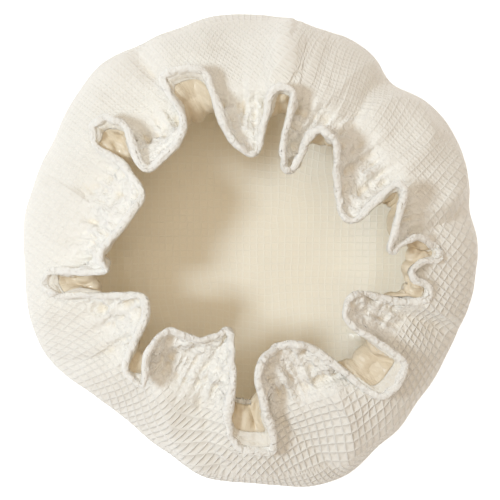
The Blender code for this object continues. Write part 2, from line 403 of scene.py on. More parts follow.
# One row for each turn of the ruffle's free edge, anticlockwise. The fold grows from the elastic at
# one angle and its edge ends at another; lean is how far out the edge lies from the elastic, and
# rise how far up, as shares of RUFFLE_WIDTH
Turn = namedtuple("Turn", "root edge lean rise")
TURNS = (
    Turn(8, -1, -0.30, 0.90),
    Turn(16, 19, 0.10, 0.95),
    Turn(20, 25, 0.10, 0.95),
    Turn(27, 15, -0.90, 0.50),
    Turn(36, 33, -0.83, 0.55),
    Turn(49, 52, -0.18, 0.95),
    Turn(54, 61, -0.10, 0.95),
    Turn(60, 63, -0.95, 0.45),
    Turn(67, 74, -0.74, 0.65),
    Turn(73, 75, 0.32, 0.85),
    Turn(78, 81, 0.34, 0.85),
    Turn(85, 86, -0.80, 0.60),
    Turn(94, 100, -0.61, 0.75),
    Turn(104, 105, 0.78, 0.60),
    Turn(113, 118, 0.84, 0.55),
    Turn(120, 119, -0.13, 0.95),
    Turn(130, 142, -0.33, 0.90),
    Turn(136, 134, 0.64, 0.65),
    Turn(141, 140, 0.88, 0.50),
    Turn(146, 145, 0.74, 0.55),
    Turn(156, 153, -0.62, 0.75),
    Turn(170, 182, -0.17, 0.95),
    Turn(178, 190, -0.28, 0.90),
    Turn(186, 185, 0.80, 0.40),
    Turn(191, 189, 0.93, 0.35),
    Turn(196, 194, 0.80, 0.40),
    Turn(207, 205, -0.69, 0.70),
    Turn(218, 225, 0.42, 0.80),
    Turn(224, 232, 0.42, 0.80),
    Turn(227, 225, 0.00, 0.90),
    Turn(231, 223, -0.61, 0.75),
    Turn(238, 239, -0.73, 0.65),
    Turn(248, 256, -1.00, 0.40),
    Turn(254, 265, -0.46, 0.70),
    Turn(259, 264, 0.35, 0.75),
    Turn(265, 266, 0.98, 0.35),
    Turn(272, 278, 1.05, 0.30),
    Turn(281, 272, -0.38, 0.85),
    Turn(290, 284, -0.76, 0.50),
    Turn(298, 301, -0.71, 0.58),
    Turn(311, 312, 0.88, 0.40),
    Turn(320, 325, 0.70, 0.50),
    Turn(328, 323, -0.60, 0.75),
    Turn(336, 338, -0.76, 0.65),
    Turn(344, 343, 0.50, 0.25),
    Turn(349, 348, 0.52, 0.25),
    Turn(354, 352, 0.08, 0.50),
    Turn(358, 357, 0.60, 0.15),
    Turn(362, 362, 0.56, 0.15),
    Turn(365, 365, 0.16, 0.60),
)

# One row for each fold of the shoulder's cloth, as seen from above, in millimetres from the cap's
# middle: its depth, how far it reaches to the left and to the right of its path, and the path. A
# raised fold has a negative depth. The film's own folds follow, and between which levels each kind
# starts and ends
Fold = namedtuple("Fold", "depth left right path")
FOLDS = (
    Fold(-4.5, 9, 22, ((22, 117), (20, 108), (15, 92))),
    Fold(-4.5, 42, 26, ((22, 112), (20, 106), (15, 92))),
    Fold(-3.2, 7, 9, ((75, 112), (58, 100), (43, 84))),
    Fold(6.5, 8, 7, ((80, 100), (70, 92), (56, 62))),
    Fold(-4.5, 8, 14, ((72, 82), (86, 88), (99, 84), (106, 70), (102, 58), (89, 46))),
    Fold(-4.5, 9, 6, ((126, 56), (125, 38), (112, 25), (90, 20))),
    Fold(3.0, 3, 4, ((134, 34), (122, 19), (106, 13))),
    Fold(-3.0, 5, 5, ((124, -42), (104, -34), (84, -27))),
    Fold(6.0, 10, 7, ((118, -50), (98, -42), (86, -38))),
    Fold(-9.0, 17, 12, ((46, -80), (56, -94), (59, -112), (56, -126))),
    Fold(4.0, 6, 7, ((18, -100), (34, -114), (56, -134))),
    Fold(-7.0, 14, 14, ((-48, -85), (-43, -106), (-36, -126))),
    Fold(6.0, 9, 8, ((-30, -92), (-25, -110), (-18, -128))),
    Fold(-2.5, 3, 4, ((-33, -80), (-33, -90), (-28, -104), (-14, -122))),
    Fold(3.0, 3, 9, ((-120, -65), (-102, -65), (-88, -62), (-79, -56))),
    Fold(3.0, 10, 3, ((-119, 42), (-111, 41), (-100, 36), (-89, 30))),
    Fold(1.6, 1.5, 1.5, ((-99, 37), (-93, 27))),
    Fold(1.4, 1.5, 1.5, ((-97, 39), (-89, 31))),
    Fold(1.4, 1.5, 2, ((-108, 4), (-99, 6), (-94, 10))),
    Fold(4.0, 4, 4, ((-69, 124), (-65, 112), (-57, 102))),
    Fold(1.0, 2, 2, ((-21, 118), (-4, 116))),
)
FILM_FOLDS = (
    Fold(-1.2, 6, 9, ((76, 32), (80, 8), (77, -20))),
    Fold(-3.0, 3, 6, ((70, -52), (73, -62), (70, -72))),
    Fold(-3.0, 3, 4, ((-34, 84), (-44, 78), (-50, 82))),
    Fold(-3.0, 4, 3, ((-80, 0), (-76, -12), (-74, -24))),
)
FOLD_CREST = 1.4
FOLDS_START = (1.0, 1.5)
FOLDS_END = (2.0, 1.85)
FILM_FOLDS_END = (2.0, 1.8)

# The gathers at the elastic, from the widest to the finest: how many there are, how deep, and how
# far they reach over the shoulder and up the ruffle. They end at the hem. Each pleat is shifted by up
# to a share of its pitch, and is at least a share of the full height
Gather = namedtuple("Gather", "count depth on_shoulder on_ruffle")
GATHERS = (
    Gather(44, 0.0012, 0.014, 0.018),
    Gather(88, 0.0010, 0.008, 0.010),
    Gather(150, 0.0004, 0.005, 0.005),
)
GATHER_SEED = 7
PLEAT_SHIFT = 0.3
PLEAT_LEAST = 0.35
GATHERS_END = (0.002, HEM_STITCH)

# How much longer the flat cloth is round the cap than the loft's row at each level
Fullness = namedtuple("Fullness", "level share")
FULLNESS = (
    Fullness(0.6, 0.01),
    Fullness(1.0, 0.01),
    Fullness(1.42, 0.06),
    Fullness(1.84, 0.24),
    Fullness(2.0, 0.75),
    Fullness(2.27, 0.87),
    Fullness(2.53, 0.52),
    Fullness(3.0, 0.15),
)

# A skin holds the rows of a surface of the cloth, and the steps into it
Skin = namedtuple("Skin", "points inward")

# A curve with a period as long as this counts as open
OPEN = 1000


def through(knots, values, at, period):
    """Values at `at`, on a smooth closed curve through the values at the knots."""
    knots = np.asarray(knots, float)
    values = np.asarray(values, float)
    before = np.concatenate([[knots[-1] - period], knots[:-1]])
    after = np.concatenate([knots[1:], [knots[0] + period]])
    back = knots - before
    ahead = after - knots
    rise_back = (values - np.roll(values, 1, axis=0)).T / back
    rise_ahead = (np.roll(values, -1, axis=0) - values).T / ahead
    slopes = ((rise_back * ahead + rise_ahead * back) / (back + ahead)).T
    at = (np.asarray(at, float) - knots[0]) % period + knots[0]
    start = np.clip(np.searchsorted(knots, at, side="right") - 1, 0, len(knots) - 1)
    end = (start + 1) % len(knots)
    share = (at - knots[start]) / ahead[start]
    shape = (-1,) + (1,) * (values.ndim - 1)
    share = share.reshape(shape)
    span = ahead[start].reshape(shape)
    rest = 1 - share
    return (
        values[start] * rest * rest * (1 + 2 * share)
        + values[end] * share * share * (1 + 2 * rest)
        + slopes[start] * span * share * rest * rest
        - slopes[end] * span * share * share * rest
    )


def smooth_step(low, high, value):
    share = np.clip((value - low) / (high - low), 0, 1)
    return share * share * (3 - 2 * share)


def mouth_radius(degrees):
    """Distance from the axis to the elastic's oval."""
    angle = np.radians(degrees)
    return 1 / np.hypot(np.cos(angle) / MOUTH_HALF_WIDTH, np.sin(angle) / MOUTH_HALF_DEPTH)


def girth_radius(degrees):
    """Distance from the axis to the widest line of the side."""
    angles = [section.angle for section in SECTIONS]
    shares = [section.girth for section in SECTIONS]
    return GIRTH_RADIUS * through(angles, shares, degrees, 360)


def plan_turn(places, angle):
    """Places turned about the upright axis, the way that makes a pattern on them turn anticlockwise."""
    across = places[..., 0] * np.cos(angle) + places[..., 1] * np.sin(angle)
    up = places[..., 1] * np.cos(angle) - places[..., 0] * np.sin(angle)
    return np.stack([across, up, places[..., 2]], axis=-1)


def crease(degrees, level):
    """How far the creases press the cloth in at an angle and a level."""
    depth = np.zeros_like(degrees)
    for row in CREASES:
        apart = (degrees - row.angle + 180) % 360 - 180
        across = np.exp(-((apart / row.spread) ** 2))
        along = math.exp(-(((level - row.level) / row.reach) ** 2))
        depth += row.depth * across * along
    return CREASE_DEPTH * depth


def polar(degrees, radius, height):
    angle = np.radians(degrees)
    return np.stack([radius * np.cos(angle), radius * np.sin(angle), height], axis=-1)


def bezier(share, first, second, third, fourth):
    rest = 1 - share
    return (
        first * rest ** 3
        + second * 3 * rest * rest * share
        + third * 3 * rest * share * share
        + fourth * share ** 3
    )


class Loft:
    """The cap's outer surface, with a column for each step round the ruffle's free edge."""

    def __init__(self, columns_per_turn):
        turns = np.array(TURNS, float)
        roots, edges, leans, rises = turns.T
        reach = mouth_radius(edges) + leans * RUFFLE_WIDTH
        corners = polar(edges, reach, MOUTH_HEIGHT + rises * RUFFLE_WIDTH)
        spans = np.sqrt(np.linalg.norm(np.roll(corners, -1, axis=0) - corners, axis=1))
        knots = np.append(0, np.cumsum(spans))
        whole = knots[-1]
        self.columns = len(turns) * columns_per_turn
        places = np.arange(self.columns) / columns_per_turn
        at = np.interp(places, np.arange(len(knots)), knots)
        knots = knots[:-1]
        ahead = roots - 360 * knots / whole
        self.root = through(knots, ahead, at, whole) + 360 * at / whole
        self.lean = through(knots, leans, at, whole)
        self.edge = through(knots, corners, at, whole)
        self.elastic = mouth_radius(self.root) + MOUTH_WAVE * self.lean
        self.girth = girth_radius(self.root)

    def body(self, level):
        """Points at a level from 0, the crown's resting edge, through 1, the girth, to 2, the elastic."""
        if level <= 1:
            tilt = level * math.pi / 2
            rest = self.girth * REST_RADIUS / GIRTH_RADIUS
            radius = rest + (self.girth - rest) * math.sin(tilt)
            height = GIRTH_HEIGHT * (1 - math.cos(tilt))
            flute = 0
        else:
            share = level - 1
            tilt = (1 + share) * math.pi / 2
            near = self.elastic + SHOULDER_BULGE * (self.girth - self.elastic)
            radius = bezier(share, self.girth, self.girth, near, self.elastic)
            climb = bezier(share, 0, SHOULDER_BULGE, 1 + SHOULDER_CREST, 1)
            height = GIRTH_HEIGHT + (MOUTH_HEIGHT - GIRTH_HEIGHT) * climb
            flute = 4 * share * (1 - share)
        pressed = min(1, level) * crease(self.root, level) - SHOULDER_WAVE * flute * self.lean
        return polar(
            self.root,
            radius - pressed * math.sin(tilt),
            height + pressed * math.cos(tilt),
        )

    def crown(self, level):
        """Points of the flattened crown, from -1 at its middle to 0 at its edge."""
        points = self.body(0)
        return points * (1 + level, 1 + level, 1)

    def ruffle(self, share):
        """Points at a share of the ruffle's width, from the elastic to the free edge."""
        foot = self.body(2)
        outward = (self.edge - foot) * (1, 1, 0)
        upward = np.array((0, 0, RUFFLE_WIDTH))
        lean = np.abs(self.lean)[:, None]
        standing = foot + RUFFLE_STANDS * upward + RUFFLE_FIRST_LEAN * outward
        leaning = self.edge - RUFFLE_CURL * (outward * lean + upward * (1 - lean))
        return bezier(share, foot, standing, leaning, self.edge)

    def points(self, level):
        if level < 0:
            return self.crown(level)
        if level <= 2:
            return self.body(level)
        return self.ruffle(level - 2)


def unit(vectors):
    return vectors / np.maximum(np.linalg.norm(vectors, axis=-1, keepdims=True), 1e-12)


def inward_steps(grid):
    """The inward steps that keep a layer's thickness through a fold, for each point of the rows."""
    ahead = unit(np.roll(grid, -1, axis=1) - grid)
    around = ahead + np.roll(ahead, 1, axis=1)
    along = grid[1:] - grid[:-1]
    faces = unit(np.cross(along, around[1:] + around[:-1]))
    below = np.concatenate([faces[:1], faces])
    above = np.concatenate([faces, faces[-1:]])
    inward = unit(below + above)
    mitre = np.clip((inward * above).sum(axis=2, keepdims=True), LEAST_MITRE, 1)
    return inward / mitre


def arc_lengths(grid):
    """Distance along each column, from its first row."""
    steps = np.linalg.norm(np.diff(grid, axis=0), axis=2)
    return np.concatenate([np.zeros_like(steps[:1]), np.cumsum(steps, axis=0)])


def noise_at(places, size, seed):
    """Smooth noise of about -1 to 1 at each place, whose lumps are about `size` across."""
    shift = Vector([seed * step for step in SEED_STEPS])
    flat = places.reshape(-1, places.shape[-1]) / size
    values = [noise.noise(Vector(place) + shift) for place in flat]
    return 2 * np.array(values).reshape(places.shape[:-1])


def waves(places, kinds):
    """The height of some kinds of smooth waves together at each place."""
    return sum(kind.depth * noise_at(places, kind.size, kind.seed) for kind in kinds)


def pleats(degrees, count, rng):
    """Pleats of uneven width and depth at the angles, from -1 to 1."""
    pitch = 180 / count
    knots = np.arange(2 * count) * pitch + rng.uniform(-PLEAT_SHIFT, PLEAT_SHIFT, 2 * count) * pitch
    heights = np.tile([1.0, -1.0], count) * rng.uniform(PLEAT_LEAST, 1.0, 2 * count)
    return through(knots, heights, degrees, 360)


def grid_faces(rows, columns):
    """The faces of a grid of closed rows, as four point numbers each."""
    numbers = np.arange(rows * columns).reshape(rows, columns)
    lower = numbers[:-1]
    upper = numbers[1:]
    corners = [lower, np.roll(lower, -1, axis=1), np.roll(upper, -1, axis=1), upper]
    return np.stack(corners, axis=-1).reshape(-1, 4)


def round_the_row(grid):
    """The length of each row, all the way round."""
    return np.linalg.norm(np.roll(grid, -1, axis=1) - grid, axis=2).sum(axis=1)


def flat_cloth(loft, levels, grid):
    """The same grid as a turned surface with the fullness of the flat cloth, from which it is gathered."""
    fullness = np.interp(levels, *np.array(FULLNESS).T)
    radius = round_the_row(grid) * (1 + fullness) / (2 * math.pi)
    steps = np.diff(arc_lengths(grid).mean(axis=1))
    rises = np.sqrt(np.maximum(steps ** 2 - np.diff(radius) ** 2, (FLAT_LEAST_RISE * steps) ** 2))
    heights = np.append(0, np.cumsum(rises))[:, None]
    hem = np.linalg.norm(np.roll(grid[-1], -1, axis=0) - grid[-1], axis=1)
    at_hem = loft.root[0] + 360 * np.append(0, np.cumsum(hem))[:-1] / hem.sum()
    share = smooth_step(*FLAT_LEANS, levels)[:, None]
    angle = loft.root * (1 - share) + at_hem * share
    return polar(angle, radius[:, None], heights + 0 * angle)


def hold(levels, grid):
    """How firmly each point of the settling cloth is held where the loft has it."""
    along = arc_lengths(grid)
    past = along - along[SETTLING_ROWS]
    edge = along[-1] - along
    weights = np.where(levels < 2, HOLD_SHOULDER, HOLD_RUFFLE)[:, None]
    weights = weights + np.exp(-(((levels[:, None] - SETTLING_START) / START_REACH) ** 2))
    weights = weights + HOLD_ELASTIC * np.exp(-((past / ELASTIC_REACH) ** 2))
    weights = weights + HOLD_HEM * np.exp(-((edge / HEM_REACH) ** 2))
    weights[0] = 1
    return weights.clip(0, 1)


def settling_cloth(loft, levels, grid):
    """The cloth that settles: the loft's grid a little wavy, its flat shape, and what holds it."""
    wave = waves(grid, [SETTLING_WAVE])
    wave = wave * smooth_step(SETTLING_WAVE_LEVEL, 2, levels)[:, None]
    start = grid - unit(inward_steps(grid)) * wave[..., None]
    mesh = bpy.data.meshes.new("settling_cloth")
    faces = grid_faces(*grid.shape[:2])
    mesh.from_pydata(start.reshape(-1, 3).tolist(), [], faces.tolist())
    piece = bpy.data.objects.new("settling_cloth", mesh)
    bpy.context.scene.collection.objects.link(piece)
    piece.shape_key_add(name="Basis")
    flat = piece.shape_key_add(name="flat")
    flat.data.foreach_set("co", flat_cloth(loft, levels, grid).astype(np.float32).ravel())
    held = piece.vertex_groups.new(name=CLOTH_SETTINGS["vertex_group_mass"])
    weights = np.round(hold(levels, grid), 2).ravel()
    for weight in np.unique(weights):
        held.add(np.flatnonzero(weights == weight).tolist(), float(weight), "REPLACE")
    modifier = piece.modifiers.new("cloth", "CLOTH")
    modifier.point_cache.frame_end = SETTLING_FRAMES
    modifier.collision_settings.use_collision = False
    for setting, value in CLOTH_SETTINGS.items():
        setattr(modifier.settings, setting, value)
    modifier.settings.rest_shape_key = flat
    modifier.settings.effector_weights.gravity = GRAVITY_SHARE
    return piece


def settle():
    """Lets the gathered cloth buckle: its levels, and how far each point moves, less the slow drift."""
    loft = Loft(SETTLING_COLUMNS)
    levels = np.append(
        np.linspace(SETTLING_START, 2, SETTLING_ROWS, endpoint=False),
        np.linspace(2, 3, SETTLING_RUFFLE_ROWS),
    )
    grid = np.array([loft.points(level) for level in levels])
    piece = settling_cloth(loft, levels, grid)
    for frame in range(1, SETTLING_FRAMES + 1):
        bpy.context.scene.frame_set(frame)
    settled = piece.evaluated_get(bpy.context.evaluated_depsgraph_get())
    places = np.empty(grid.size, np.float32)
    settled.data.vertices.foreach_get("co", places)
    bpy.context.scene.frame_set(1)
    mesh = piece.data
    bpy.data.objects.remove(piece)
    bpy.data.meshes.remove(mesh)
    return levels, eased(levels, grid, places.reshape(grid.shape) - grid)


def smoothed(values, grid, reach, rows):
    """Values at the grid's points, spread over a distance round the rows and over a number of rows."""
    columns = grid.shape[1]
    frequencies = np.fft.rfftfreq(columns) * columns / round_the_row(grid)[:, None]
    passed = np.exp(-2 * (math.pi * frequencies * reach) ** 2)[..., None]
    spread = np.fft.irfft(np.fft.rfft(values, axis=1) * passed, columns, axis=1)
    if rows == 0:
        return spread
    offsets = np.arange(-3 * rows, 3 * rows + 1)
    shares = np.exp(-0.5 * (offsets / rows) ** 2)
    padded = np.pad(spread, ((3 * rows, 3 * rows), (0, 0), (0, 0)), mode="edge")
    summed = sum(share * padded[row:row + len(grid)] for row, share in enumerate(shares))
    return summed / shares.sum()


def eased(levels, grid, moved):
    """A movement without the slow drift that would change the outline, and with a smoother hem."""
    slow = smoothed(moved, grid, DRIFT_REACH, DRIFT_ROWS)
    quick = smoothed(moved, grid, EASE_REACH, 0) - slow
    ruffle = (levels >= 2)[:, None, None]
    near_elastic = smooth_step(*SHOULDER_STARTS, levels)[:, None, None]
    kept = np.where(ruffle, DRIFT_SHARE * slow + quick, SHOULDER_SHARE * near_elastic * quick)
    along = arc_lengths(grid)
    at_hem = np.exp(-(((along[-1] - along) / HEM_EASE) ** 2))[..., None]
    return kept + at_hem * (smoothed(kept, grid, HEM_EASE, 0) - kept)


def rounded(levels, grid):
    """The grid with a soft bend in place of the sharp one at the elastic."""
    along = arc_lengths(grid)
    past = along - along[np.searchsorted(levels, 2)]
    share = np.exp(-((past / NECK_REACH) ** 2))[..., None]
    grid = grid + share * (smoothed(grid, grid, 0, NECK_ROWS) - grid)
    share = np.exp(-(((along[-1] - along) / HEM_TURN_REACH) ** 2))[..., None]
    return grid + share * (smoothed(grid, grid, HEM_TURN, 0) - grid)


class Cloth:
    """Rows of points from the crown's middle to the ruffle's edge, and where each lies on the cloth."""

    def __init__(self):
        loft = Loft(COLUMNS_PER_TURN)
        ruffle = 1 - np.linspace(1, 0, RUFFLE_ROWS) ** HEM_CROWDING
        self.levels = np.concatenate([
            np.linspace(-1, 0, CROWN_ROWS, endpoint=False)[1:],
            np.linspace(0, 1, SIDE_ROWS, endpoint=False),
            np.linspace(1, 2, SHOULDER_ROWS, endpoint=False),
            2 + ruffle,
        ])
        self.root = loft.root
        self.grid = rounded(self.levels, self.buckled(loft))
        along = arc_lengths(self.grid) + np.linalg.norm(self.grid[0][:, :2], axis=1)
        self.past_elastic = along - along[ELASTIC_ROW]
        self.from_edge = along[-1] - along
        self.out = along.mean(axis=1)
        self.around = self.lengths_round()
        self.plan = weave_plan(self.grid * (1, 1, 0))
        self.normals = -unit(inward_steps(self.grid))

    def buckled(self, loft):
        """The loft's points at the cloth's levels, moved as the settling cloth moves."""
        grid = np.array([loft.points(level) for level in self.levels])
        levels, moved = settle()
        places = np.arange(loft.columns) * SETTLING_COLUMNS / COLUMNS_PER_TURN
        count = moved.shape[1]
        moved = through(np.arange(count), moved.swapaxes(0, 1), places, count).swapaxes(0, 1)
        near = self.levels >= SETTLING_START
        grid[near] += through(levels, moved, self.levels[near], OPEN)
        return grid

    def lengths_round(self):
        """Distance round the ruffle at each column, stretched to a whole number of the weave's cells."""
        middle = self.grid[ELASTIC_ROW + RUFFLE_ROWS // 3]
        steps = np.linalg.norm(np.roll(middle, -1, axis=0) - middle, axis=1)
        whole = round(steps.sum() / RUFFLE_CELL) * RUFFLE_CELL
        return np.append(0, np.cumsum(steps)) * whole / steps.sum()

    def shaped(self):
        """The skin of the cloth with its folds, waves, creases, puckers and gathers."""
        lift = self.folds() + self.slack() + self.crumples() + self.puckers() + self.gathers()
        grid = self.grid + self.normals * lift[..., None]
        grid[..., 2] = np.maximum(grid[..., 2], self.grid[..., 2].clip(max=0))
        inward = inward_steps(grid)
        even = smoothed(inward, grid, HEM_TURN, 1)
        at_hem = smooth_step(*HEM_EVENS, self.from_edge)[..., None]
        return Skin(grid, inward + at_hem * (even - inward))

    def mark_crease_shade_and_hem(self, skin):
        """Keeps, from 0 to 1, how deep each point lies in a crease, for painted shade, and how near the
        hem it is.
        """
        smooth = smoothed(skin.points, skin.points, CREASE_REACH, CREASE_ROWS)
        dips = ((skin.points - smooth) * unit(skin.inward)).sum(axis=2)
        self.creases = smooth_step(CREASE_SHALLOW, CREASE_DEEP, dips)
        self.near_hem = smooth_step(*HEM_SHOWS, self.from_edge)

    def folds(self):
        """The shoulder's folds, each a line seen from above."""
        depth = sum(fold_depth(self.grid, fold) for fold in FOLDS)
        on_shoulder = smooth_step(*FOLDS_START, self.levels) * smooth_step(*FOLDS_END, self.levels)
        return -depth * on_shoulder[:, None]

    def slack(self):
        """Soft, wide waves of the side and the shoulder, and fewer on the resting crown."""
        amount = smooth_step(0.0, 1.0, self.levels)
        return waves(self.grid, SLACK) * amount[:, None]

    def gathers(self):
        """Pleats at the elastic: the finest fade first, so that they seem to run together."""
        rng = np.random.default_rng(GATHER_SEED)
        lift = np.zeros(self.past_elastic.shape)
        before = np.maximum(-self.past_elastic, 0)
        past = np.maximum(self.past_elastic - ELASTIC_WIDTH, 0)
        for kind in GATHERS:
            profile = pleats(self.root, kind.count, rng)
            fade = np.exp(-before / kind.on_shoulder - past / kind.on_ruffle)
            lift += kind.depth * profile[None, :] * fade
        return lift * smooth_step(*GATHERS_END, self.from_edge)

    def crumples(self):
        """Small, sharp creases of the ruffle and of the shoulder near the elastic."""
        amount = np.where(
            self.past_elastic < 0,
            np.exp(self.past_elastic / CRUMPLE_REACH),
            smooth_step(*CRUMPLES_END, self.from_edge),
        )
        lift = np.zeros(amount.shape)
        near = amount > LEAST_CRUMPLE
        for kind in CRUMPLES:
            raw = noise_at(self.grid[near], kind.size, kind.seed)
            lift[near] += kind.depth * (CRUMPLE_CREST - np.abs(raw)) * 2
        return lift * amount

    def puckers(self):
        """Small waves where the hem is stitched."""
        around = np.broadcast_to(self.around[:-1], self.from_edge.shape)
        near = self.from_edge < PUCKERS_END
        along = self.from_edge[near] * PUCKER_SQUEEZE
        places = np.stack([around[near], along, 0 * along], axis=-1)
        lift = np.zeros(near.shape)
        lift[near] = waves(places, [PUCKERS])
        return lift * np.exp(-(((self.from_edge - HEM_STITCH) / PUCKER_REACH) ** 2))


def weave_plan(plan):
    """Where each point lies in the shoulder's weave, which is laid out as seen from above."""
    turned = plan
    for swirl in SWIRLS:
        centre = (swirl.x, swirl.y, 0)
        near = np.exp(-((np.linalg.norm(turned - centre, axis=2) / swirl.reach) ** 2))
        turned = plan_turn(turned - centre, np.radians(swirl.angle) * near) + centre
    turned = plan_turn(turned, math.radians(WARP_TURN))
    threads = [turned[..., axis] + waves(plan, [warp]) for axis, warp in enumerate(WARPS)]
    return np.stack(threads, axis=-1)


def fold_depth(grid, fold):
    """How deep a fold presses each point in."""
    apart, left = beside(grid[..., :2] * 1000, fold.path)
    reach = np.where(left, fold.left, fold.right)
    return fold.depth / 1000 * np.exp(-((apart / reach) ** FOLD_CREST))


def beside(plan, path):
    """How far each place lies from a path, and whether it lies on the path's left."""
    nearest = np.full(plan.shape[:2], np.inf)
    left = np.zeros(plan.shape[:2], bool)
    for start, end in zip(path[:-1], path[1:]):
        run = np.subtract(end, start).astype(float)
        from_start = plan - start
        share = (from_start @ run / (run @ run)).clip(0, 1)
        apart = np.linalg.norm(from_start - share[..., None] * run, axis=2)
        closer = apart < nearest
        nearest = np.where(closer, apart, nearest)
        turn = run[0] * from_start[..., 1] - run[1] * from_start[..., 0]
        left = np.where(closer, turn > 0, left)
    return nearest, left


def strip(lower, upper, places):
    """Triangles between two loops of vertex numbers. One loop may have twice as many as the other."""
    if len(lower) == 2 * len(upper):
        return strip(upper, lower, places)[:, ::-1]
    left = lower
    right = np.roll(lower, -1)
    if len(upper) == 2 * len(lower):
        near = upper[::2]
        middle = upper[1::2]
        far = np.roll(near, -1)
        faces = [(left, middle, near), (left, right, middle), (right, far, middle)]
        return np.concatenate([np.stack(face, axis=1) for face in faces])
    near = upper
    far = np.roll(upper, -1)
    rising = np.linalg.norm(places[left] - places[far], axis=1)
    falling = np.linalg.norm(places[right] - places[near], axis=1)
    swap = (rising < falling)[:, None]
    first = np.where(swap, np.stack([left, right, far], axis=1), np.stack([left, right, near], axis=1))
    second = np.where(swap, np.stack([left, far, near], axis=1), np.stack([right, far, near], axis=1))
    return np.concatenate([first, second])


class Sheet:
    """Collects the loops of a closed sheet of cloth and makes its mesh."""

    def __init__(self, cloth):
        self.cloth = cloth
        self.points = []
        self.rows = []
        self.columns = []
        self.faces = []
        self.count = 0

    def loop(self, skin, row, stride, depth):
        """A ring at a row, at a depth that is one number or one for each column."""
        columns = np.arange(0, skin.points.shape[1], stride)
        depth = np.broadcast_to(depth, skin.points.shape[1])[columns]
        ring = skin.points[row, columns] + skin.inward[row, columns] * depth[:, None]
        return self.add(ring, row, columns)

    def add(self, ring, row, columns):
        numbers = np.arange(self.count, self.count + len(ring))
        self.points.append(ring)
        self.rows.append(np.full(len(ring), row))
        self.columns.append(columns)
        self.count += len(ring)
        return numbers

    def middle(self, height):
        """The point in the crown's middle."""
        return self.add(np.array([(0.0, 0.0, height)]), -1, np.zeros(1, int))

    def side(self, loops, flipped):
        places = np.concatenate(self.points)
        for lower, upper in zip(loops[:-1], loops[1:]):
            self.close(lower, upper, places, flipped)

    def close(self, lower, upper, places, flipped):
        if len(lower) == 1:
            ahead = np.roll(upper, -1)
            faces = np.stack([np.full(len(upper), lower[0]), ahead, upper], axis=1)
        else:
            faces = strip(lower, upper, places)
        self.faces.append(faces[:, ::-1] if flipped else faces)

    def piece(self, name, material):
        """The finished piece, with the flat cloth's own coordinates as its UV maps."""
        rows = np.concatenate(self.rows)
        columns = np.concatenate(self.columns)
        faces = np.concatenate(self.faces)
        mesh = bpy.data.meshes.new(name)
        mesh.from_pydata(np.concatenate(self.points).tolist(), [], faces.tolist())
        for label, places in self.maps(rows[faces], columns[faces]).items():
            layer = mesh.uv_layers.new(name=label)
            layer.uv.foreach_set("vector", places.astype(np.float32).ravel())
        # Marks for the cotton: the painted shade in its creases, and the hem's painted light and puckers
        for label, values in (("crease", self.cloth.creases), ("hem", self.cloth.near_hem)):
            marks = mesh.attributes.new(label, "FLOAT", "POINT")
            here = np.where(rows < 0, 0, values[rows, columns])
            marks.data.foreach_set("value", here.astype(np.float32))
        return finished(name, mesh, material)

    def maps(self, rows, columns):
        """Each corner's place on the crown's disc, in the shoulder's weave, and along the ruffle."""
        cloth = self.cloth
        whole = len(cloth.root)
        seam = columns.max(axis=1, keepdims=True) - columns > whole // 2
        columns = np.where(seam, whole, columns)
        wrapped = columns % whole
        middle = rows < 0
        out = np.where(middle, 0, cloth.out[rows])
        angle = np.radians(cloth.root[wrapped])
        past = cloth.past_elastic[rows.clip(min=0), wrapped]
        return {
            "crown": np.stack([out * np.cos(angle), out * np.sin(angle)], axis=-1),
            "shoulder": np.where(middle[..., None], 0, cloth.plan[rows, wrapped]),
            "ruffle": np.stack([cloth.around[columns], past], axis=-1),
        }


def finished(name, mesh, material):
    """A smooth piece made of a mesh and a material."""
    mesh.shade_smooth()
    mesh.materials.append(material)
    piece = bpy.data.objects.new(name, mesh)
    bpy.context.scene.collection.objects.link(piece)
    return piece


def widest(values, counts):
    """The largest value near each point: so many rows up and down, and so many columns each way."""
    for axis, count in enumerate(counts):
        shifts = range(-count, count + 1)
        values = np.max([np.roll(values, shift, axis=axis) for shift in shifts], axis=0)
    return values


def under(skin, past_elastic):
    """A smoother skin that lies under the deepest wrinkles of another."""
    smooth = smoothed(skin.points, skin.points, UNDER_REACH, UNDER_ROWS)
    smoother = smoothed(skin.points, skin.points, 2 * UNDER_REACH, UNDER_ROWS)
    at_elastic = np.exp(-((past_elastic / UNDER_ELASTIC) ** 2))[..., None]
    smooth += at_elastic * (smoother - smooth)
    smooth[:CROWN_ROWS] = skin.points[:CROWN_ROWS]
    inward = unit(smoothed(inward_steps(smooth), smooth, 2 * UNDER_REACH, 2 * UNDER_ROWS))
    dips = ((skin.points - smooth) * inward).sum(axis=2)
    deepest = widest(dips.clip(min=0), WRINKLE_COUNTS)
    deepest[:CROWN_ROWS] = 0
    points = smooth + inward * smoothed(deepest[..., None], skin.points, UNDER_REACH / 2, 1)
    for _ in range(CLEARING_ROUNDS):
        move = widest(short_of(skin, points + inward * CLOTH_WALL), CLEARING_COUNTS)
        points = points + inward * smoothed(move[..., None], skin.points, UNDER_REACH / 2, 1)
    return Skin(points, inward)


def short_of(skin, points):
    """How far each point near the elastic and on the ruffle lies short of the cloth's inner face."""
    inner_face = (skin.points + skin.inward * CLOTH_WALL)[CLEARING_ROW:]
    faces = grid_faces(*inner_face.shape[:2])
    tree = BVHTree.FromPolygons(inner_face.reshape(-1, 3).tolist(), faces.tolist())
    short = []
    for point in points[CLEARING_ROW:].reshape(-1, 3):
        place, normal, _, _ = tree.find_nearest(point)
        short.append((Vector(point) - place).dot(normal))
    found = np.zeros(points.shape[:2])
    found[CLEARING_ROW:] = np.array(short).reshape(inner_face.shape[:2])
    return np.where(found < MOST_CLEARING, found.clip(min=0), 0)


def stride_of(level):
    """How many columns the sheet takes together at a level."""
    for stride in STRIDES:
        if level < stride.below:
            return stride.columns
    return 1


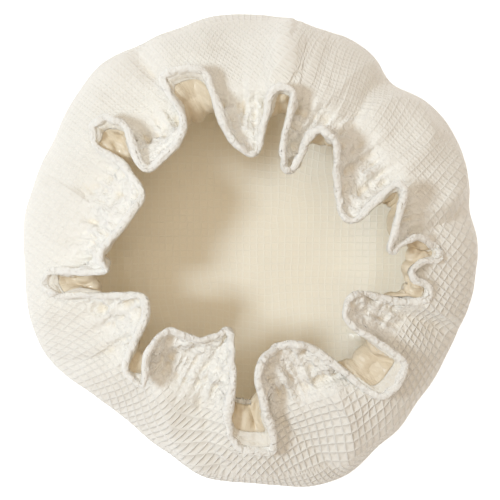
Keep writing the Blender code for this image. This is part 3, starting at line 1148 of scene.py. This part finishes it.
def sheet_of(cloth, skin, name, material, rows, depths, crown):
    """A closed sheet between two depths. The side that is seen last is made half as fine."""
    sheet = Sheet(cloth)
    shown, hidden = depths
    fine = [sheet.loop(skin, row, stride_of(cloth.levels[row]), shown[row]) for row in rows]
    back_rows = sorted(set(rows[::2]) | {rows[-1]})
    back = [sheet.loop(skin, row, 2 * stride_of(cloth.levels[row]), hidden[row]) for row in back_rows]
    if crown:
        fine = [sheet.middle(skin.points[0, 0, 2] + shown[0][0])] + fine
        back = [sheet.middle(skin.points[0, 0, 2] + hidden[0][0])] + back
    inside = shown[rows[0]].mean() > hidden[rows[0]].mean()
    sheet.side(fine, inside)
    sheet.side(back, not inside)
    places = np.concatenate(sheet.points)
    sheet.close(fine[-1], back[-1], places, inside)
    if not crown:
        sheet.close(back[0], fine[0], places, inside)
    return sheet.piece(name, material)


def hem_half(cloth):
    """Half the cloth's thickness, outward and inward: a thin wall that swells to the rolled hem."""
    edge = cloth.from_edge
    rounding = np.sqrt(1 - (1 - np.minimum(edge / HEM_HALF, 1)) ** 2)
    roll = HEM_HALF * (1 + waves(cloth.grid[-1], HEM_UNEVEN))
    halves = []
    for full, thin in (ROLL_OUTSIDE, ROLL_INSIDE):
        swelling = roll[None, :] * smooth_step(full * HEM_STITCH, thin * HEM_STITCH, edge)
        halves.append(rounding * np.maximum(swelling, CLOTH_WALL / 2))
    return halves


def shell(cloth, skin, material):
    outer, inner = hem_half(cloth)
    groove = GROOVE_DEPTH * np.exp(-(((cloth.from_edge - HEM_STITCH) / GROOVE_REACH) ** 2))
    depths = (CLOTH_WALL / 2 - outer + groove, CLOTH_WALL / 2 + inner)
    rows = list(range(len(cloth.levels)))
    return sheet_of(cloth, skin, "shell_cloth", material, rows, depths, crown=True)


def film_lift(cloth):
    """How far the loose film stands off the cloth: at the crown's corner, and in its own folds."""
    from_right = (cloth.root + 180) % 360 - 180
    rise = BOWL_RISE + BOWL_RISE_RIGHT * np.exp(-((from_right / BOWL_SPREAD) ** 2))
    lift = rise * np.exp(-(((cloth.out - BOWL_PLACE) / BOWL_REACH) ** 2))[:, None]
    in_cap = smooth_step(*FILM_FOLDS_END, cloth.levels)[:, None]
    for fold in FILM_FOLDS:
        lift = lift - fold_depth(cloth.grid, fold) * in_cap
    return lift


def film_depth(cloth):
    """How deep the film lies: close to the cloth on the ruffle, and lifted by the tape under it."""
    past = cloth.past_elastic
    flat = np.where(past > 0, 1, 0) * smooth_step(*FILM_FLAT, cloth.from_edge)
    casing = smooth_step(*CASING_STARTS, past) * smooth_step(*CASING_ENDS, past)
    at_ruffle = (CLOTH_WALL + FILM_GAP - FILM_DEPTH) * flat + CASING_RISE * casing
    return FILM_DEPTH + film_lift(cloth) + at_ruffle


def rows_between(cloth, first, last):
    """Rows whose mean distance past the elastic and from the edge are at least these."""
    past = cloth.past_elastic.mean(axis=1)
    edge = cloth.from_edge.mean(axis=1)
    return [row for row in range(len(past)) if past[row] >= first and edge[row] >= last]


def lining(cloth, skin, material):
    near = film_depth(cloth)
    rows = rows_between(cloth, -1, FILM_END)
    return sheet_of(cloth, skin, "lining_film", material, rows, (near + FILM_WALL, near), crown=True)


def facing(cloth, skin, material):
    edge = cloth.from_edge
    near = CLOTH_WALL + FILM_GAP + FILM_WALL + FACING_GAP
    near = near - FACING_SINK * smooth_step(HEM_STITCH, HEM_STITCH - FACING_SINK_REACH, edge)
    rows = [row for row in rows_between(cloth, 0, FACING_END) if edge[row].mean() <= HEM_TURN_IN]
    thick = smooth_step(HEM_TURN_IN, HEM_TURN_IN - FACING_THIN_REACH, edge)
    far = near + FACING_WALL * (FACING_THINNEST + (1 - FACING_THINNEST) * thick)
    return sheet_of(cloth, skin, "hem_facing_cloth", material, rows, (far, near), crown=False)


def elastic(cloth, skin, material):
    near = np.full(cloth.past_elastic.shape, FILM_DEPTH)
    past = cloth.past_elastic.mean(axis=1)
    rows = [row for row in range(len(past)) if 0 <= past[row] <= ELASTIC_WIDTH]
    depths = (near, near + ELASTIC_WALL)
    return sheet_of(cloth, skin, "elastic_tape", material, rows, depths, crown=False)


class Finish:
    """A Principled material and the nodes that feed it."""

    def __init__(self, name, roughness, sheen=0.0, coat=0.0):
        self.material = bpy.data.materials.new(name)
        self.material.use_nodes = True
        self.tree = self.material.node_tree
        self.shader = self.tree.nodes["Principled BSDF"]
        self.shader.inputs["Roughness"].default_value = roughness
        self.shader.inputs["Sheen Weight"].default_value = sheen
        self.shader.inputs["Coat Weight"].default_value = coat

    def feed(self, socket, value):
        if isinstance(value, bpy.types.NodeSocket):
            self.tree.links.new(value, socket)
        else:
            socket.default_value = value

    def math(self, operation, first, second=0.0):
        node = self.tree.nodes.new("ShaderNodeMath")
        node.operation = operation
        self.feed(node.inputs[0], first)
        self.feed(node.inputs[1], second)
        return node.outputs[0]

    def mix(self, share, low, high):
        """A number between two others."""
        node = self.tree.nodes.new("ShaderNodeMix")
        self.feed(node.inputs["Factor"], share)
        self.feed(node.inputs["A"], low)
        self.feed(node.inputs["B"], high)
        return node.outputs["Result"]

    def blend(self, share, low, high):
        """A colour between two others."""
        node = self.tree.nodes.new("ShaderNodeMix")
        node.data_type = "RGBA"
        self.feed(node.inputs["Factor"], share)
        self.feed(node.inputs["A"], low if isinstance(low, bpy.types.NodeSocket) else (*low, 1))
        self.feed(node.inputs["B"], high if isinstance(high, bpy.types.NodeSocket) else (*high, 1))
        return node.outputs["Result"]

    def flat_place(self, label):
        """The two coordinates of one of the cloth's maps, in metres."""
        node = self.tree.nodes.new("ShaderNodeUVMap")
        node.uv_map = label
        split = self.tree.nodes.new("ShaderNodeSeparateXYZ")
        self.tree.links.new(node.outputs["UV"], split.inputs[0])
        return split.outputs["X"], split.outputs["Y"]

    def attribute(self, label):
        """A number that the mesh carries at each point."""
        node = self.tree.nodes.new("ShaderNodeAttribute")
        node.attribute_name = label
        return node.outputs["Fac"]

    def noise(self, size, detail=2.0, roughness=0.5):
        """Soft noise from 0 to 1 on the object's own coordinates."""
        place = self.tree.nodes.new("ShaderNodeTexCoord")
        node = self.tree.nodes.new("ShaderNodeTexNoise")
        node.inputs["Scale"].default_value = 1 / size
        node.inputs["Detail"].default_value = detail
        node.inputs["Roughness"].default_value = roughness
        self.tree.links.new(place.outputs["Object"], node.inputs["Vector"])
        return node.outputs["Fac"]

    def toward_top(self):
        """How far a place lies toward the top, and a little to the left, of the view from above."""
        place = self.tree.nodes.new("ShaderNodeTexCoord")
        split = self.tree.nodes.new("ShaderNodeSeparateXYZ")
        self.tree.links.new(place.outputs["Object"], split.inputs[0])
        toward_left = self.math("MULTIPLY", split.outputs["X"], TOWARD_LEFT)
        return self.math("SUBTRACT", split.outputs["Y"], toward_left)

    def step(self, low, high, value):
        """A soft step from 0 to 1 while a value goes from low to high."""
        node = self.tree.nodes.new("ShaderNodeMapRange")
        node.interpolation_type = "SMOOTHSTEP"
        self.feed(node.inputs["Value"], value)
        node.inputs["From Min"].default_value = low
        node.inputs["From Max"].default_value = high
        return node.outputs["Result"]

    def waffle(self, label, cell, sharpness):
        """Height of the waffle weave: 1 on the ridges round each square cell, 0 in its middle."""
        sides = []
        for place in self.flat_place(label):
            share = self.math("FRACT", self.math("DIVIDE", place, cell))
            apart = self.math("ABSOLUTE", self.math("SUBTRACT", share, 0.5))
            sides.append(self.math("MULTIPLY", apart, 2.0))
        return self.math("POWER", self.math("MAXIMUM", *sides), sharpness)

    def crinkle(self, size):
        """Height of small sharp creases of about a size: 1 on the flats, 0 in the creases."""
        bent = self.math("SUBTRACT", self.noise(size, detail=CRINKLE_DETAIL), 0.5)
        height = self.math("MULTIPLY", self.math("ABSOLUTE", bent), 4.0)
        return self.math("POWER", height, CRINKLE_POWER)

    def puckered(self, pitch, length):
        """Height of fine puckers that run across the hem: a pitch apart and a length long."""
        around, past = self.flat_place("ruffle")
        place = self.tree.nodes.new("ShaderNodeCombineXYZ")
        self.feed(place.inputs["X"], self.math("DIVIDE", around, pitch))
        self.feed(place.inputs["Y"], self.math("DIVIDE", past, length))
        node = self.tree.nodes.new("ShaderNodeTexNoise")
        node.inputs["Scale"].default_value = 1
        node.inputs["Detail"].default_value = 1
        self.tree.links.new(place.outputs["Vector"], node.inputs["Vector"])
        return node.outputs["Fac"]

    def bump(self, height, distance, strength, normal=None):
        node = self.tree.nodes.new("ShaderNodeBump")
        node.inputs["Distance"].default_value = distance
        node.inputs["Strength"].default_value = strength
        self.feed(node.inputs["Height"], height)
        if normal is not None:
            self.tree.links.new(normal, node.inputs["Normal"])
        return node.outputs["Normal"]

    def finish(self, colour, normal):
        self.feed(self.shader.inputs["Base Color"], colour)
        self.feed(self.shader.inputs["Normal"], normal)
        return self.material


def cotton_height(finish, past, on_ruffle):
    """Height of the weave: on the crown's disc, over the shoulder, and fainter along the ruffle."""
    crown = finish.waffle("crown", WAFFLE_CELL, SHARPNESS)
    coarse = finish.waffle("shoulder", WAFFLE_CELL, SHARPNESS)
    fine = finish.waffle("shoulder", WAFFLE_CELL / 2, FINE_SHARPNESS)
    at_top = finish.step(*FINE_WEAVE_STARTS, finish.toward_top())
    shoulder = finish.mix(at_top, coarse, finish.mix(FINE_WEAVE, coarse, fine))
    body = finish.mix(finish.step(*CROWN_WEAVE_ENDS, past), crown, shoulder)
    full = finish.waffle("ruffle", RUFFLE_CELL, RUFFLE_SHARPNESS)
    return finish.mix(on_ruffle, body, finish.math("MULTIPLY", full, RUFFLE_WEAVE))


def cotton_normal(finish, height, on_ruffle):
    """The cotton's relief: the weave, the ruffle's creases, the hem's puckers and fuzz."""
    at_top = finish.step(*FLAT_WEAVE_STARTS, finish.toward_top())
    weave = finish.math("MULTIPLY", height, finish.mix(at_top, DEEP_WEAVE, FLAT_WEAVE))
    fine = finish.math("MULTIPLY", finish.crinkle(FINE_CRINKLE), FINE_CRINKLE_SHARE)
    crinkles = finish.math("MULTIPLY", on_ruffle, finish.math("ADD", finish.crinkle(CRINKLE), fine))
    puckers = finish.puckered(FINE_PUCKER_PITCH, FINE_PUCKER_LENGTH)
    at_hem = finish.math("MULTIPLY", finish.attribute("hem"), puckers)
    normal = finish.bump(weave, distance=0.0010, strength=0.75)
    normal = finish.bump(crinkles, distance=0.0018, strength=0.55, normal=normal)
    normal = finish.bump(at_hem, distance=0.0022, strength=0.32, normal=normal)
    return finish.bump(finish.noise(FUZZ, detail=3), distance=0.0003, strength=0.5, normal=normal)


def waffle_cotton():
    finish = Finish("ivory waffle cotton", roughness=0.9, sheen=0.15)
    past = finish.flat_place("ruffle")[1]
    on_ruffle = finish.step(*RUFFLE_STARTS, past)
    height = cotton_height(finish, past, on_ruffle)
    clouds = finish.math("MULTIPLY", finish.noise(CLOUDS), CLOUDS_SHARE)
    # Painted light on the ruffle, which is the same cotton as the shoulder
    painted_light = finish.math("MULTIPLY", on_ruffle, RUFFLE_PAINTED_LIGHT)
    # Darker in the weave's cells than on its ridges: the cloth's own tone with painted shade in the pits
    colour = finish.blend(height, COTTON, COTTON_RIDGES)
    colour = finish.blend(clouds, colour, COTTON_CLOUDS)
    colour = finish.blend(painted_light, colour, COTTON_RUFFLE_PAINTED_LIGHT)
    # Lighter near the hem: its layers of cloth, and painted light
    colour = finish.blend(finish.attribute("hem"), colour, COTTON_HEM_LAYERS_AND_LIGHT)
    # Painted shade in the creases
    colour = finish.blend(finish.attribute("crease"), colour, COTTON_CREASE_SHADE)
    return finish.finish(colour, cotton_normal(finish, height, on_ruffle))


def clear_film():
    finish = Finish("clear waterproof film", roughness=0.42, coat=0.1)
    past = finish.flat_place("ruffle")[1]
    height = finish.waffle("crown", WAFFLE_CELL, FILM_SHARPNESS)
    taut = finish.math("MULTIPLY", finish.step(*FILM_TIGHTENS, past), finish.crinkle(FILM_CRINKLE))
    normal = finish.bump(height, distance=0.0002, strength=0.7)
    ripple = finish.noise(FILM_RIPPLE, detail=1)
    normal = finish.bump(ripple, distance=0.0015, strength=0.35, normal=normal)
    normal = finish.bump(taut, distance=0.0020, strength=0.3, normal=normal)
    unshaded_film = finish.blend(height, FILM, FILM_RIDGES)
    # Painted shade: darker tan past the elastic, in the ruffle's pockets
    colour = finish.blend(finish.step(*FILM_SHADE_STARTS, past), unshaded_film, FILM_POCKET_SHADE)
    return finish.finish(colour, normal)


def cotton_facing():
    finish = Finish("ivory cotton facing", roughness=0.9, sheen=0.15)
    full = finish.waffle("ruffle", RUFFLE_CELL, RUFFLE_SHARPNESS)
    height = finish.math("MULTIPLY", full, FACING_WEAVE)
    normal = finish.bump(height, distance=0.0006, strength=0.6)
    normal = finish.bump(finish.noise(FUZZ, detail=3), distance=0.0003, strength=0.5, normal=normal)
    # Darker in the cells than on the ridges: painted shade in the weave's pits
    return finish.finish(finish.blend(height, FACING, FACING_RIDGES), normal)


def knitted_elastic():
    finish = Finish("white knitted elastic", roughness=0.8)
    past = finish.flat_place("ruffle")[1]
    rib = finish.math("SINE", finish.math("MULTIPLY", past, 2 * math.pi / TAPE_RIB))
    return finish.finish((*TAPE, 1), finish.bump(rib, distance=0.0002, strength=0.5))


def sewing_thread():
    finish = Finish("cream sewing thread", roughness=0.6)
    normal = finish.bump(finish.noise(THREAD_FUZZ), distance=0.0002, strength=0.4)
    return finish.finish((*THREAD, 1), normal)


def thread_bead():
    """The points and faces of one stitch, a bead that lies along X."""
    bpy.ops.mesh.primitive_uv_sphere_add(segments=8, ring_count=6, radius=1)
    bead = bpy.context.object
    mesh = bead.data
    shape = np.array([vertex.co for vertex in mesh.vertices])
    faces = [tuple(polygon.vertices) for polygon in mesh.polygons]
    bpy.data.objects.remove(bead)
    bpy.data.meshes.remove(mesh)
    return shape * (STITCH_LENGTH / 2, THREAD_RADIUS, THREAD_RADIUS), faces


def hem_line(cloth, skin, edge_distance):
    """The points of a line at a distance from the ruffle's edge, and the steps into the cloth there."""
    rows = np.argmax(cloth.from_edge <= edge_distance, axis=0)
    columns = np.arange(len(rows))
    before = cloth.from_edge[rows - 1, columns]
    after = cloth.from_edge[rows, columns]
    share = ((before - edge_distance) / (before - after))[:, None]
    points = skin.points[rows - 1, columns] * (1 - share) + skin.points[rows, columns] * share
    return points, unit(skin.inward[rows, columns])


def stitches(cloth, skin, name, edge_distance, depth, material):
    """A row of stitches at a distance from the ruffle's edge, each a bead laid along the hem."""
    shape, bead_faces = thread_bead()
    points, inward = hem_line(cloth, skin, edge_distance)
    path = points + inward * depth
    closed = np.concatenate([path, path[:1]])
    steps = np.linalg.norm(np.diff(closed, axis=0), axis=1)
    along = np.append(0, np.cumsum(steps))
    count = int(along[-1] / (STITCH_LENGTH + STITCH_GAP))
    places = (np.arange(count) + 0.5) * along[-1] / count
    number = np.searchsorted(along, places) - 1
    share = ((places - along[number]) / steps[number])[:, None]
    centres = closed[number] * (1 - share) + closed[number + 1] * share
    ahead = unit(closed[number + 1] - closed[number])
    up = unit(inward[number] - ahead * (inward[number] * ahead).sum(axis=1, keepdims=True))
    axes = np.stack([ahead, np.cross(up, ahead), up], axis=1)
    placed = np.einsum("vk,skc->svc", shape, axes) + centres[:, None]
    starts = range(0, count * len(shape), len(shape))
    faces = [[start + corner for corner in face] for start in starts for face in bead_faces]
    mesh = bpy.data.meshes.new(name)
    mesh.from_pydata(placed.reshape(-1, 3).tolist(), [], faces)
    return finished(name, mesh, material)


def pale_floor():
    bpy.ops.mesh.primitive_plane_add(size=FLOOR_SIZE, location=(0, 0, 0))
    floor = bpy.context.object
    floor.name = "floor"
    finish = Finish("pale floor", roughness=0.8)
    finish.shader.inputs["Base Color"].default_value = (*FLOOR_COLOUR, 1)
    finish.shader.inputs["Emission Color"].default_value = (1, 1, 1, 1)
    finish.shader.inputs["Emission Strength"].default_value = FLOOR_GLOW
    floor.data.materials.append(finish.material)


def area_light(name, place, size, power, colour):
    light = bpy.data.lights.new(name, "AREA")
    light.size = size
    light.energy = power
    light.color = colour
    lamp = bpy.data.objects.new(name, light)
    lamp.location = place
    aim = Vector((0, 0, FRAME_HEIGHT)) - Vector(place)
    lamp.rotation_euler = aim.to_track_quat("-Z", "Y").to_euler()
    bpy.context.scene.collection.objects.link(lamp)


def studio():
    """Soft light from the upper left of the view, and pale surroundings."""
    area_light("lamp", KEY_PLACE, KEY_SIZE, KEY_POWER, KEY_COLOUR)
    area_light("softbox", SOFTBOX_PLACE, SOFTBOX_SIZE, SOFTBOX_POWER, SOFTBOX_COLOUR)
    area_light("fill", FILL_PLACE, FILL_SIZE, FILL_POWER, FILL_COLOUR)
    world = bpy.data.worlds.new("studio")
    world.use_nodes = True
    background = world.node_tree.nodes["Background"]
    background.inputs["Color"].default_value = (*ROOM_COLOUR, 1)
    background.inputs["Strength"].default_value = ROOM_LIGHT
    bpy.context.scene.world = world
    bpy.context.scene.view_settings.view_transform = "Standard"
    bpy.context.scene.cycles.diffuse_bounces = LIGHT_BOUNCES


def overhead_camera():
    data = bpy.data.cameras.new("overhead")
    data.sensor_width = SENSOR_WIDTH
    data.lens = SENSOR_WIDTH * (CAMERA_HEIGHT - FRAME_HEIGHT) / FRAME_WIDTH
    camera = bpy.data.objects.new("overhead", data)
    camera.location = (0, 0, CAMERA_HEIGHT)
    bpy.context.scene.collection.objects.link(camera)
    bpy.context.scene.camera = camera


def corners(box):
    return [list(corner) for corner in box]


def main():
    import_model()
    bpy.ops.object.select_all(action="DESELECT")
    overhead_camera()
    studio()
    pale_floor()

    cloth = Cloth()
    outer = cloth.shaped()
    cloth.mark_crease_shade_and_hem(outer)
    inner = under(outer, cloth.past_elastic)
    cotton = waffle_cotton()
    pieces = {
        "shell": shell(cloth, outer, cotton),
        "lining": lining(cloth, inner, clear_film()),
        "hem_facing": facing(cloth, inner, cotton_facing()),
        "elastic_band": elastic(cloth, inner, knitted_elastic()),
    }
    for node, piece in pieces.items():
        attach(piece, "root")
        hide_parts(node)
    thread = sewing_thread()
    inside = CLOTH_WALL + FILM_GAP + FACING_GAP + FILM_WALL + FACING_WALL
    sewn = [
        stitches(cloth, inner, "hem_stitches_inside", INSIDE_STITCH, inside, thread),
        stitches(cloth, outer, "hem_stitches_outside", HEM_STITCH, STITCH_SINK, thread),
    ]
    for row in sewn:
        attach(row, "root")


main()
